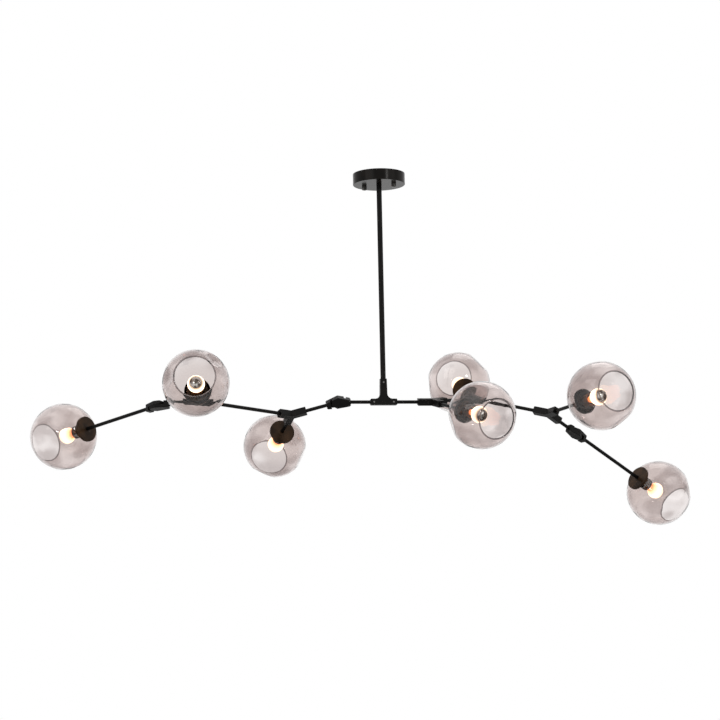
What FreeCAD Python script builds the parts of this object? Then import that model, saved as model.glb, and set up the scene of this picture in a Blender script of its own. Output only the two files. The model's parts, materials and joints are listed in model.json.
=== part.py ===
import FreeCAD, Part
import math
import os
import re
import Sketcher

# Branch chandelier: seven dented smoke-glass globes on a chain of black rods,
# three-way fittings and clamped knuckles, hung from a round ceiling canopy by one
# down rod. Millimetres. The origin is on the ceiling, at the canopy's centre;
# +Z is up, +X runs along the long side to the right and +Y to the back.
#
# A fitting has its own axes: +X goes on along the rod that arrives, away from the
# down rod, and +Z is the pivot of a knuckle or the normal of a three-way fitting.
# Tubes, lamp heads and screws are built standing on their own +Z.

Vector = FreeCAD.Vector
Rotation = FreeCAD.Rotation
Placement = FreeCAD.Placement
ORIGIN = Vector(0, 0, 0)
X_AXIS = Vector(1, 0, 0)
Y_AXIS = Vector(0, 1, 0)
Z_AXIS = Vector(0, 0, 1)
LEVEL = Rotation()
LAY_DOWN = Rotation(Y_AXIS, 90)

SIZES = {
    # ceiling strap, canopy and what holds them
    "canopy_d": 120.0, "canopy_depth": 25.0, "canopy_wall": 1.2, "canopy_edge": 1.0,
    "strap_length": 92.0, "strap_width": 22.0, "strap_thick": 2.0, "strap_corner": 3.0,
    "ceiling_pitch_d": 50.0, "ceiling_hole_d": 5.0, "fixing_turn": -22.3,
    "stud_pitch_d": 73.0, "stud_d": 4.0, "stud_play": 0.2, "stud_in_nut": 7.0,
    "cap_nut_d": 9.6, "cap_nut_depth": 12.0, "cap_nut_edge": 0.8, "cap_nut_bore": 9.0,
    "nipple_d": 10.0, "nipple_bore": 7.0, "nipple_rise": 8.0, "nipple_in_rod": 20.0,
    "lock_nut_flats": 14.0, "lock_nut_depth": 4.0,
    "block_length": 24.0, "block_width": 14.0, "block_depth": 9.0,
    "block_way_d": 3.2, "block_way_pitch": 7.0,
    # down rod and tee
    "drop": 530.0, "down_rod_d": 12.0, "down_rod_wall": 0.95,
    "tee_half": 30.5, "tee_bar_w": 14.4, "tee_thick": 14.5, "tee_corner": 1.5,
    "tee_neck": 53.0, "tee_neck_top_w": 14.8, "tee_neck_foot_w": 17.0, "tee_flare": 12.0,
    "tee_socket": 20.0, "neck_grub_depth": 1.0, "tee_turn": 8.4,
    # rods, their sockets and set screws
    "arm_d": 8.0, "arm_wall": 1.0, "seat_play": 0.05, "rod_insert": 14.0,
    "wire_way_d": 5.6, "grub_d": 4.0, "grub_depth": 2.8, "grub_key": 2.0,
    "grub_inset": 8.0, "screw_lift": 0.1, "edge_break": 0.7, "cut_past": 1.0,
    # three-way fitting
    "y_arm": 36.0, "y_width": 15.5,
    # knuckle
    "knuckle_tip": 28.0, "knuckle_tip_w": 15.5, "knuckle_corner": 2.0,
    "knuckle_waist_w": 27.0, "knuckle_waist_back": 2.0, "knuckle_tail": 15.0,
    "knuckle_tail_w": 14.0, "knuckle_thick": 16.0, "knuckle_step": 17.6,
    "knuckle_gap": 0.3, "knuckle_insert": 9.0, "boss_d": 9.0, "wire_ring_d": 19.0,
    "wire_ring_depth": 3.4, "wire_ring_start": 7.0,
    "pivot_d": 5.0, "pivot_play": 0.05, "pivot_bite": 5.6, "pivot_head_d": 9.0,
    "pivot_head_depth": 2.6, "pivot_head_room": 0.3, "pivot_key": 3.0,
    "clamp_d": 2.4, "clamp_depth": 6.0, "clamp_key": 1.3, "clamp_side": 5.6,
    "clamp_inset": 3.6,
    # lamp heads
    "cup_d": 57.0, "cup_depth": 7.0, "cup_wall": 1.5, "cup_edge": 1.0, "glass_seat": 0.2,
    "holder_d": 28.0, "holder_bore": 23.0, "holder_back": 1.7, "holder_floor": 12.0,
    "holder_rim": 38.0, "rod_in_holder": 10.0,
    "ring_d": 46.0, "ring_thick": 4.0, "ring_start": 8.3, "ring_play": 0.1,
    "glass_r": 75.0, "glass_wall": 2.0, "mouth_r": 44.0, "glass_hole_r": 20.0,
    "dent_r": 34.0, "dent_depth": 7.0,
    "bulb_d": 45.0, "bulb_length": 77.0, "bulb_cap_d": 14.0, "bulb_cap_length": 20.0,
    "bulb_neck_d": 26.0, "bulb_neck_length": 14.0, "bulb_start": 12.4,
}

# Distances between the centres of neighbouring fittings, and from a fitting's
# centre to the lamp's cup (reach); the roll of each fitting about the rod that
# arrives, the angles at which the two rods leave a three-way fitting ("on" goes to
# the next fitting, "off" to the other one) and the bend of each knuckle.
LAYOUT = {
    "left_1": 104.0, "left_2": 111.0, "left_3": 266.4, "left_4": 95.4,
    "right_1": 114.5, "right_2": 116.5, "right_3": 197.1, "right_4": 94.4,
    "knuckle_1_roll": 238.6, "knuckle_1_bend": 16.6,
    "left_a_roll": 140.1, "left_a_on": 46.9, "left_a_off": 68.3,
    "left_b_roll": 164.7, "left_b_on": 53.3, "left_b_off": 48.4,
    "knuckle_2_roll": 4.5, "knuckle_2_bend": 28.7,
    "right_a_roll": 15.6, "right_a_on": 30.1, "right_a_off": 69.8,
    "right_b_roll": 185.3, "right_b_on": 68.6, "right_b_off": 60.3,
    "right_c_roll": 142.9, "right_c_on": 62.4, "right_c_off": 40.6,
    "knuckle_3_roll": 171.4, "knuckle_3_bend": 1.0,
    "reach_1": 216.2, "reach_2": 82.1, "reach_3": 79.6, "reach_4": 77.9,
    "reach_5": 133.0, "reach_6": 150.2, "reach_7": 211.6,
}

# Finger-like dents of each globe: degrees from the way that its mouth faces, and
# degrees round that way from the side that looks up.
DENTS = {
    1: ((113, 189), (130, 300), (72, 70)),
    2: ((54, 86), (54, 314), (56, 202), (105, 20)),
    3: ((133, 285), (56, 209), (84, 20), (96, 120)),
    4: ((79, 290), (92, 60), (106, 220)),
    5: ((70, 43), (64, 142), (112, 114), (88, 262)),
    6: ((64, 98), (83, 219), (124, 13)),
    7: ((104, 92), (108, 160), (54, 53), (84, 270)),
}

# Millimetres within which two lengths count as the same, and the least cosine between
# two lines that count as parallel.
SAME = 1e-4
PARALLEL = 0.999
# A drilled hole takes away more than this many cubic millimetres.
LEAST_CUT = 0.5
# Where a sketch's points lie before its constraints move them: the radius of a ring of
# points and the angle of the first one, in radians.
FIRST_RING = 10.0
FIRST_TURN = 0.3

# How far a rod's end lies from the centre of the piece that holds it.
TEE_SEAT = "tee_half - rod_insert"
FITTING_SEAT = "y_arm - rod_insert"
KNUCKLE_SEAT = "knuckle_tip - knuckle_insert"
HOLDER_SEAT = "-rod_in_holder"
# How far the globe's centre lies from the back of its cup.
GLOBE_CENTRE = "cup_depth + glass_seat + sqrt(glass_r ^ 2 - (cup_d / 2 - cup_wall) ^ 2)"

DRIVEN = {**SIZES, **LAYOUT}
document = FreeCAD.newDocument("branch_chandelier")
sheet = document.addObject("Spreadsheet::Sheet", "Sizes")
nodes = []
screws = {"frame": [], "left_branch": [], "lamp_1_arm": [], "lamp_7_arm": []}


# ---------------------------------------------------------------- sizes
def fill_sheet():
    """One row for each driving dimension: its name in column A, its value in B."""
    for row, (alias, value) in enumerate(DRIVEN.items(), start=1):
        sheet.set(f"A{row}", alias)
        sheet.set(f"B{row}", str(value))
        sheet.setAlias(f"B{row}", alias)
    document.recompute()


def size(alias):
    """A driving dimension as a number."""
    return float(getattr(sheet, alias))


def formula(text):
    """The sheet's expression for a formula written with the plain names of sizes."""
    def cell(match):
        word = match.group(0)
        return f"Sizes.{word}" if word in DRIVEN else word
    return re.sub(r"[a-z]\w*", cell, text)


def number(text):
    """The present value of a formula."""
    return float(sheet.evalExpression(formula(text)))


def bind(thing, **properties):
    """Ties each named property of a feature to a formula."""
    for name, text in properties.items():
        thing.setExpression(name, formula(text))
    return thing


def bind_place(thing, corner):
    """Ties the three coordinates of a feature's place to formulas."""
    for axis, text in zip("xyz", corner):
        thing.setExpression(f"Placement.Base.{axis}", formula(text))
    return thing


# ---------------------------------------------------------------- bodies and sketches
def new_node(kind, name):
    """A sub-part: an object of the document whose label names its file."""
    thing = document.addObject(kind, name)
    thing.Label = name
    nodes.append(thing)
    return thing


def new_body(name):
    """A sub-part that is made from sketches and features."""
    return new_node("PartDesign::Body", name)


def new_sketch(body, name, role, lift="0"):
    """A sketch on one of the body's own origin planes, raised by a formula."""
    sketch = body.newObject("Sketcher::SketchObject", f"{body.Name}_{name}")
    plane = next(part for part in body.Origin.OriginFeatures if part.Role == role)
    sketch.AttachmentSupport = [(plane, "")]
    sketch.MapMode = "FlatFace"
    sketch.setExpression("AttachmentOffset.Base.z", formula(lift))
    return sketch


def pin_point(sketch, geometry, point, corner):
    """Holds a point of the sketch at two formulas, measured from its origin."""
    for kind, text in zip(("DistanceX", "DistanceY"), corner):
        held = sketch.addConstraint(Sketcher.Constraint(kind, -1, 1, geometry, point, 1.0))
        sketch.setExpression(f"Constraints[{held}]", formula(text))


def add_outline(sketch, corners):
    """A closed outline of straight edges with a corner at each pair of formulas."""
    count = len(corners)
    turns = [FIRST_TURN + 2 * math.pi * index / count for index in range(count)]
    starts = [Vector(math.cos(turn), math.sin(turn), 0) * FIRST_RING for turn in turns]
    first = sketch.GeometryCount
    for index in range(count):
        edge = Part.LineSegment(starts[index], starts[(index + 1) % count])
        sketch.addGeometry(edge, False)
    for index in range(count):
        after = first + (index + 1) % count
        sketch.addConstraint(Sketcher.Constraint("Coincident", first + index, 2, after, 1))
        pin_point(sketch, first + index, 1, corners[index])


def add_rectangle(sketch, length, width):
    """A rectangle centred on the sketch's origin."""
    add_outline(sketch, [(f"{x}({length}) / 2", f"{y}({width}) / 2")
                         for x, y in (("-", "-"), ("", "-"), ("", ""), ("-", ""))])


def add_circle(sketch, diameter):
    """A circle of the given diameter about the sketch's origin."""
    index = sketch.addGeometry(Part.Circle(ORIGIN, Z_AXIS, FIRST_RING), False)
    sketch.addConstraint(Sketcher.Constraint("Coincident", index, 3, -1, 1))
    held = sketch.addConstraint(Sketcher.Constraint("Diameter", index, 2 * FIRST_RING))
    sketch.setExpression(f"Constraints[{held}]", formula(diameter))


# ---------------------------------------------------------------- features
def add_pad(body, sketch, length, centred=False, reverse=False):
    """Gives the sketch's outline a thickness."""
    pad = body.newObject("PartDesign::Pad", f"{sketch.Name}_solid")
    pad.Profile = sketch
    pad.Midplane = centred
    pad.Reversed = reverse
    return bind(pad, Length=length)


def add_turned(body, name, corners):
    """Turns an outline of (radius, height) corners round the body's +Z."""
    sketch = new_sketch(body, name, "XZ_Plane")
    add_outline(sketch, corners)
    turned = body.newObject("PartDesign::Revolution", f"{sketch.Name}_turned")
    turned.Profile = sketch
    turned.ReferenceAxis = (sketch, ["V_Axis"])
    turned.Angle = 360
    return turned


def drill(body, name, diameter, depth, corner, direction):
    """A round hole that starts at a place given by formulas and goes in a direction."""
    hole = body.newObject("PartDesign::SubtractiveCylinder", f"{body.Name}_{name}")
    hole.Placement = Placement(ORIGIN, Rotation(Z_AXIS, direction))
    bind_place(hole, corner)
    return bind(hole, Radius=f"({diameter}) / 2", Height=depth)


def break_edges(body, name, amount, test, rounded=False):
    """Chamfers or rounds the edges of the body's last feature that pass a test."""
    document.recompute()
    base = body.Tip
    numbered = enumerate(base.Shape.Edges, start=1)
    picked = [f"Edge{index}" for index, edge in numbered if test(edge)]
    if not picked:
        raise ValueError(f"{body.Label} has no edge for {name}")
    kind, value = ("Fillet", "Radius") if rounded else ("Chamfer", "Size")
    broken = body.newObject(f"PartDesign::{kind}", f"{body.Name}_{name}")
    broken.Base = (base, picked)
    return bind(broken, **{value: amount})


def straight_along(axis, near):
    """A test for straight edges along an axis whose middle passes a second test."""
    def test(edge):
        if edge.Curve.TypeId != "Part::GeomLine":
            return False
        ends = [vertex.Point for vertex in edge.Vertexes]
        along = (ends[1] - ends[0]).normalize()
        return abs(along.dot(axis)) > PARALLEL and near(edge.CenterOfMass)
    return test


def level_with(axis, heights):
    """A test for edges that lie whole at one of the heights along an axis."""
    def test(edge):
        reach = [vertex.Point.dot(axis) for vertex in edge.Vertexes]
        return any(max(abs(spot - height) for spot in reach) < SAME for height in heights)
    return test


def round_at(radius, height):
    """A test for a full circle of a given radius about Z, at a given height."""
    def test(edge):
        if edge.Curve.TypeId != "Part::GeomCircle":
            return False
        return abs(edge.Curve.Radius - radius) + abs(edge.Curve.Center.z - height) < SAME
    return test


# ---------------------------------------------------------------- loose solids
def add_solid(kind, name, corner=("0", "0", "0"), **properties):
    """A Part primitive with its sizes and place tied to formulas."""
    return bind_place(bind(document.addObject(f"Part::{kind}", name), **properties), corner)


def cut_away(name, base, tool):
    """What is left of one solid when another is taken out of it."""
    cut = document.addObject("Part::Cut", name)
    cut.Base = base
    cut.Tool = tool
    return cut


def gather(name, solids):
    """Several separate solids under one node."""
    group = new_node("Part::Compound", name)
    group.Links = solids
    return group


def add_screw(body_name, place, diameter, depth, key, head=None):
    """A socket screw that points down its own -Z, its top at the place's origin.

    head is a pair of formulas, its diameter and depth, for a screw with a head.
    """
    name = f"{body_name}_screw_{len(screws[body_name]) + 1}"
    top = head[1] if head else "0"
    length = f"({depth}) + ({top})"
    solid = add_solid("Cylinder", f"{name}_shank", ("0", "0", f"-({length})"),
                      Radius=f"({diameter}) / 2", Height=length)
    if head:
        cap = add_solid("Cylinder", f"{name}_head", ("0", "0", f"-({top})"),
                        Radius=f"({head[0]}) / 2", Height=top)
        shank = solid
        solid = document.addObject("Part::Fuse", f"{name}_blank")
        solid.Base = shank
        solid.Tool = cap
    socket = add_solid("Prism", f"{name}_key", ("0", "0", f"-({length}) / 3"),
                       Circumradius=f"({key}) / 2 / cos(30 * 1 deg)", Height=f"({length}) / 2")
    screw = cut_away(name, solid, socket)
    screw.Placement = place
    screws[body_name].append(screw)


# ---------------------------------------------------------------- canopy and down rod
def build_strap():
    """Steel cross strap that two screws hold to the ceiling, with its two studs."""
    turn = Rotation(Z_AXIS, size("fixing_turn"))
    strap = new_body("ceiling_strap")
    flat = new_sketch(strap, "flat", "XY_Plane", "-strap_thick")
    add_rectangle(flat, "strap_length", "strap_width")
    add_pad(strap, flat, "strap_thick")
    break_edges(strap, "corners", "strap_corner", straight_along(Z_AXIS, lambda middle: True),
                rounded=True)
    holes = {"ceiling_hole": ("ceiling_pitch_d", "ceiling_hole_d"),
             "stud_hole": ("stud_pitch_d", "stud_d + stud_play")}
    for name, (pitch, diameter) in holes.items():
        for side in ("", "-"):
            drill(strap, name, diameter, "strap_thick + 2 * cut_past",
                  (f"{side}{pitch} / 2", "0", "-strap_thick - cut_past"), Z_AXIS)
    strap.Placement = Placement(ORIGIN, turn)

    studs = []
    nuts = []
    for name, side in (("right", 1), ("left", -1)):
        spot = turn.multVec(X_AXIS) * (side * size("stud_pitch_d") / 2)
        stud = bind(document.addObject("Part::Cylinder", f"stud_{name}"),
                    Radius="stud_d / 2", Height="canopy_depth + stud_in_nut")
        stud.Placement = Placement(spot - Z_AXIS * (size("canopy_depth") + size("stud_in_nut")),
                                   turn)
        studs.append(stud)
        nuts.append(build_cap_nut(name, spot - Z_AXIS * size("canopy_depth")))
    gather("strap_studs", studs)
    gather("cap_nuts", nuts)


def build_cap_nut(name, face):
    """Blind turned nut under the canopy; its lower rim is bevelled."""
    barrel = add_solid("Cylinder", f"cap_nut_{name}_barrel",
                       ("0", "0", "-(cap_nut_depth - cap_nut_edge)"),
                       Radius="cap_nut_d / 2", Height="cap_nut_depth - cap_nut_edge")
    bevel = add_solid("Cone", f"cap_nut_{name}_bevel", ("0", "0", "-cap_nut_depth"),
                      Radius1="cap_nut_d / 2 - cap_nut_edge", Radius2="cap_nut_d / 2",
                      Height="cap_nut_edge")
    blank = document.addObject("Part::Fuse", f"cap_nut_{name}_blank")
    blank.Base = barrel
    blank.Tool = bevel
    bore = add_solid("Cylinder", f"cap_nut_{name}_bore", ("0", "0", "-cap_nut_bore"),
                     Radius="(stud_d + stud_play) / 2", Height="cap_nut_bore + cut_past")
    nut = cut_away(f"cap_nut_{name}", blank, bore)
    nut.Placement = Placement(face, LEVEL)
    return nut


def build_canopy():
    """Pressed steel canopy, open to the ceiling, with holes for the rod and two studs."""
    canopy = new_body("canopy")
    hole = "(nipple_d + stud_play) / 2"
    inside = "canopy_d / 2 - canopy_wall"
    floor = "-canopy_depth + canopy_wall"
    add_turned(canopy, "wall", [
        (hole, "-canopy_depth"), ("canopy_d / 2", "-canopy_depth"), ("canopy_d / 2", "0"),
        (inside, "0"), (inside, floor), (hole, floor)])
    break_edges(canopy, "lower_edge", "canopy_edge",
                round_at(size("canopy_d") / 2, -size("canopy_depth")), rounded=True)
    turn = Rotation(Z_AXIS, size("fixing_turn"))
    for side in ("", "-"):
        drill(canopy, "stud_hole", "stud_d + stud_play", "canopy_wall + 2 * cut_past",
              (f"{side}stud_pitch_d / 2", "0", "-canopy_depth - cut_past"), Z_AXIS)
    canopy.Placement = Placement(ORIGIN, turn)


def build_terminal_block():
    """Insulated block under the strap, where the ceiling's wires meet the lamp's."""
    block = new_body("terminal_block")
    face = new_sketch(block, "face", "XY_Plane", "-strap_thick")
    add_rectangle(face, "block_length", "block_width")
    add_pad(block, face, "block_depth", reverse=True)
    for count in (-1, 0, 1):
        drill(block, "wire_way", "block_way_d", "block_width + 2 * cut_past",
              (f"{count} * block_way_pitch", "-block_width / 2 - cut_past",
               "-strap_thick - block_depth / 2"), Y_AXIS)
    block.Placement = Placement(ORIGIN, Rotation(Z_AXIS, size("fixing_turn")))


def build_tube(name, diameter, bore, length, place):
    """A straight tube that stands on its own +Z."""
    tube = new_body(name)
    ring = new_sketch(tube, "ring", "XY_Plane")
    add_circle(ring, diameter)
    add_circle(ring, bore)
    add_pad(tube, ring, length)
    tube.Placement = place


def build_down_rod():
    """Down rod from the canopy into the tee, with the nipple and nut that hold it."""
    foot = size("tee_neck") - size("tee_socket") - size("drop")
    build_tube("down_rod", "down_rod_d", "down_rod_d - 2 * down_rod_wall",
               "drop - tee_neck + tee_socket - canopy_depth",
               Placement(Z_AXIS * foot, LEVEL))
    nipple_foot = -size("canopy_depth") - size("nipple_in_rod")
    build_tube("threaded_nipple", "nipple_d", "nipple_bore",
               "nipple_in_rod + canopy_wall + nipple_rise",
               Placement(Z_AXIS * nipple_foot, LEVEL))
    blank = bind(document.addObject("Part::Prism", "lock_nut_blank"),
                 Circumradius="lock_nut_flats / 2 / cos(30 * 1 deg)", Height="lock_nut_depth")
    bore = add_solid("Cylinder", "lock_nut_bore", ("0", "0", "-cut_past"),
                     Radius="nipple_d / 2 + seat_play", Height="lock_nut_depth + 2 * cut_past")
    nut = new_node("Part::Cut", "lock_nut")
    nut.Base = blank
    nut.Tool = bore
    nut.Placement = Placement(Z_AXIS * (size("canopy_wall") - size("canopy_depth")), LEVEL)


def build_tee(place):
    """Cast tee: a bar for the two arms and a flared neck for the down rod."""
    tee = new_body("tee_fitting")
    bar = new_sketch(tee, "bar", "XZ_Plane")
    add_rectangle(bar, "2 * tee_half", "tee_bar_w")
    add_pad(tee, bar, "tee_thick", centred=True)
    neck = new_sketch(tee, "neck", "XZ_Plane")
    add_outline(neck, [("-tee_neck_foot_w / 2", "0"), ("tee_neck_foot_w / 2", "0"),
                       ("tee_neck_top_w / 2", "tee_neck"), ("-tee_neck_top_w / 2", "tee_neck")])
    add_pad(tee, neck, "tee_thick", centred=True)

    bar_top = size("tee_bar_w") / 2
    half = size("tee_half")

    def foot_of_neck(middle):
        return abs(middle.z - bar_top) < SAME and abs(middle.x) < half / 2

    def end_of_bar(middle):
        return abs(abs(middle.x) - half) < SAME

    break_edges(tee, "flare", "tee_flare", straight_along(Y_AXIS, foot_of_neck), rounded=True)
    break_edges(tee, "corners", "tee_corner", straight_along(Y_AXIS, end_of_bar))
    face = size("tee_thick") / 2
    break_edges(tee, "edges", "edge_break", level_with(Y_AXIS, (-face, face)))

    socket = "arm_d + 2 * seat_play"
    drill(tee, "right_socket", socket, "rod_insert + cut_past",
          ("tee_half - rod_insert", "0", "0"), X_AXIS)
    drill(tee, "left_socket", socket, "rod_insert + cut_past",
          ("-tee_half - cut_past", "0", "0"), X_AXIS)
    drill(tee, "neck_socket", "down_rod_d + 2 * seat_play", "tee_socket + cut_past",
          ("0", "0", "tee_neck - tee_socket"), Z_AXIS)
    drill(tee, "arm_wires", "wire_way_d", "2 * (tee_half - rod_insert) + cut_past",
          ("-tee_half + rod_insert - cut_past / 2", "0", "0"), X_AXIS)
    drill(tee, "neck_wires", "wire_way_d", "tee_neck - tee_socket + cut_past",
          ("0", "0", "0"), Z_AXIS)
    tee.Placement = place

    front = Rotation(X_AXIS, 90)
    spots = (("tee_half - grub_inset", "0", "arm_d", "grub_depth"),
             ("-tee_half + grub_inset", "0", "arm_d", "grub_depth"),
             ("0", "tee_neck - grub_inset", "down_rod_d", "neck_grub_depth"))
    for across, up, rod, depth in spots:
        drill(tee, "screw_hole", "grub_d + 2 * seat_play", "tee_thick / 2 + cut_past",
              (across, "-tee_thick / 2 - cut_past", up), Y_AXIS)
        top = Vector(number(across), -number(f"{rod} / 2 + screw_lift + {depth}"), number(up))
        add_screw("frame", place * Placement(top, front), "grub_d", depth, "grub_key")


# ---------------------------------------------------------------- chain of fittings
def ahead(point, heading, distance):
    """The point a distance further on along a heading's +X."""
    return point + heading.multVec(X_AXIS) * distance


def build_rod(name, start, heading, length, near, far):
    """An arm rod between two centres; near and far are its ends' seats from them."""
    build_tube(name, "arm_d", "arm_d - 2 * arm_wall", f"{length} - ({near}) - ({far})",
               Placement(ahead(start, heading, number(near)), heading * LAY_DOWN))


def fitting_corners(on, off):
    """Corners of a flat three-armed star: one arm backwards, two at given angles.

    An arm's two outer corners lie at its length and half its width to each side;
    two arms' edges meet at half the width over the sine of half the angle between.
    """
    arm, half = "y_arm", "y_width / 2"

    def tip(angle, side):
        return (f"{arm} * cos({angle}) - ({side}{half}) * sin({angle})",
                f"{arm} * sin({angle}) + ({side}{half}) * cos({angle})")

    between, middle = f"({on} + {off}) / 2", f"({on} - {off}) / 2"
    crotch = f"{half} / sin({between})"
    return [(f"-{arm}", f"-{half}"), (f"-{half} * tan({off} / 2)", f"-{half}"),
            tip(f"-{off}", "-"), tip(f"-{off}", ""),
            (f"{crotch} * cos({middle})", f"{crotch} * sin({middle})"),
            tip(on, "-"), tip(on, ""),
            (f"-{half} * tan({on} / 2)", half), (f"-{arm}", half)]


def build_fitting(name, centre, heading, body_name):
    """Cast three-way fitting; returns the headings of the rods that leave it."""
    turned = heading * Rotation(X_AXIS, size(f"{name}_roll"))
    on, off = f"({name}_on * 1 deg)", f"({name}_off * 1 deg)"
    fitting = new_body(f"{name}_fitting")
    star = new_sketch(fitting, "star", "XY_Plane")
    add_outline(star, fitting_corners(on, off))
    add_pad(fitting, star, "y_width", centred=True)
    face = size("y_width") / 2
    break_edges(fitting, "edges", "edge_break", level_with(Z_AXIS, (-face, face)))
    place = Placement(centre, turned)
    fitting.Placement = place
    for arm, angle in (("back", "180 deg"), ("on", on), ("off", f"-{off}")):
        way = Vector(number(f"cos({angle})"), number(f"sin({angle})"), 0)
        seat = tuple(f"({FITTING_SEAT}) * {turn}({angle})" for turn in ("cos", "sin")) + ("0",)
        drill(fitting, f"{arm}_socket", "arm_d + 2 * seat_play", "rod_insert + cut_past",
              seat, way)
        drill(fitting, f"{arm}_wires", "wire_way_d", FITTING_SEAT, ("0", "0", "0"), way)
        inset = tuple(f"(y_arm - grub_inset) * {turn}({angle})" for turn in ("cos", "sin"))
        drill(fitting, f"{arm}_screw_hole", "grub_d + 2 * seat_play", "y_width / 2 + cut_past",
              inset + ("0",), Z_AXIS)
        top = way * number("y_arm - grub_inset")
        top.z = number("arm_d / 2 + screw_lift + grub_depth")
        add_screw(body_name, place * Placement(top, LEVEL), "grub_d", "grub_depth", "grub_key")
    return (turned * Rotation(Z_AXIS, size(f"{name}_on")),
            turned * Rotation(Z_AXIS, -size(f"{name}_off")))


def build_knuckle_half(name, place, body_name, outer):
    """Half a knuckle: +X to its rod, and its tongue on the +Z side of the pivot.

    The outer half turns on the pivot screw, whose head sits in its counterbore. The
    inner half holds the screw's thread.
    """
    half = new_body(name)
    tip, tip_side = "knuckle_tip", "knuckle_tip_w / 2"
    shoulder = "knuckle_tip - knuckle_corner"
    slope = "(knuckle_waist_w - knuckle_tip_w) / 2 / (knuckle_tip - knuckle_corner" \
            " + knuckle_waist_back)"
    step_side = f"({tip_side} + {slope} * ({shoulder} - knuckle_step))"
    nose = [(shoulder, tip_side), (tip, f"{tip_side} - knuckle_corner")]
    tongue_back = [("-knuckle_tail", "knuckle_tail_w / 2"),
                   ("-knuckle_waist_back", "knuckle_waist_w / 2")]
    block_back = [("knuckle_step", step_side)]
    face = "knuckle_thick / 2"
    solids = (("tongue", tongue_back, "knuckle_gap / 2", f"{face} - knuckle_gap / 2", False),
              ("block", block_back, "knuckle_gap / 2", f"{face} + knuckle_gap / 2", True))
    for part, back, lift, thickness, reverse in solids:
        upper = back + nose
        lower = [(x, f"-({y})") for x, y in reversed(upper)]
        sketch = new_sketch(half, part, "XY_Plane", lift)
        add_outline(sketch, upper + lower)
        add_pad(half, sketch, thickness, reverse=reverse)
    flat = size("knuckle_thick") / 2
    break_edges(half, "edges", "edge_break", level_with(Z_AXIS, (-flat, flat)))

    drill(half, "socket", "arm_d + 2 * seat_play", "knuckle_insert + cut_past",
          (KNUCKLE_SEAT, "0", "0"), X_AXIS)
    drill(half, "wire_way", "wire_way_d", f"{KNUCKLE_SEAT} - wire_ring_start + cut_past",
          ("wire_ring_start", "0", "0"), X_AXIS)
    ring = new_sketch(half, "wire_ring", "XY_Plane")
    add_circle(ring, "wire_ring_d")
    add_circle(ring, "boss_d")
    groove = half.newObject("PartDesign::Pocket", f"{name}_wire_ring_cut")
    groove.Profile = ring
    groove.Reversed = True
    bind(groove, Length="knuckle_gap / 2 + wire_ring_depth")
    if outer:
        head_room = "pivot_head_depth + 2 * pivot_head_room"
        drill(half, "pivot_hole", "pivot_d + 2 * pivot_play", f"{face} + cut_past",
              ("0", "0", "0"), Z_AXIS)
        drill(half, "pivot_seat", "pivot_head_d + 2 * pivot_head_room",
              f"{head_room} + cut_past", ("0", "0", f"{face} - ({head_room})"), Z_AXIS)
    else:
        drill(half, "pivot_thread", "pivot_d + 2 * seat_play", "pivot_bite + seat_play",
              ("0", "0", "0"), Z_AXIS)
    for side in ("", "-"):
        across = ("knuckle_tip - clamp_inset", f"{side}clamp_side")
        drill(half, "clamp_hole", "clamp_d + 2 * seat_play", "clamp_depth + cut_past",
              across + (f"{face} - clamp_depth",), Z_AXIS)
        top = Vector(number(across[0]), number(across[1]), number(f"{face} - screw_lift"))
        add_screw(body_name, place * Placement(top, LEVEL), "clamp_d",
                  "clamp_depth - screw_lift", "clamp_key")
    half.Placement = place


def build_knuckle(name, centre, heading, bodies):
    """Both halves of a knuckle and its pivot; returns the heading beyond its bend."""
    turned = heading * Rotation(X_AXIS, size(f"{name}_roll"))
    beyond = turned * Rotation(Z_AXIS, size(f"{name}_bend"))
    inner_place = Placement(centre, turned * Rotation(Z_AXIS, 180))
    outer_place = Placement(centre, beyond * Rotation(X_AXIS, 180))
    build_knuckle_half(f"{name}_inner", inner_place, bodies[0], outer=False)
    build_knuckle_half(f"{name}_outer", outer_place, bodies[1], outer=True)
    top = Z_AXIS * number("knuckle_thick / 2 - pivot_head_room")
    shank = "knuckle_thick / 2 - pivot_head_room - pivot_head_depth + pivot_bite"
    add_screw(bodies[0], outer_place * Placement(top, LEVEL), "pivot_d", shank, "pivot_key",
              head=("pivot_head_d", "pivot_head_depth"))
    axis = turned.multVec(Z_AXIS)
    print(f"pivot {name} at {centre.x:.3f} {centre.y:.3f} {centre.z:.3f}"
          f" axis {axis.x:.5f} {axis.y:.5f} {axis.z:.5f}")
    return beyond


# ---------------------------------------------------------------- lamp heads
def upright(way):
    """The turn that puts +Z along a way and +X as near to straight up as it can go."""
    third = way.cross(Z_AXIS).normalize()
    return Rotation(third.cross(way), third, way, "ZXY")


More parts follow.
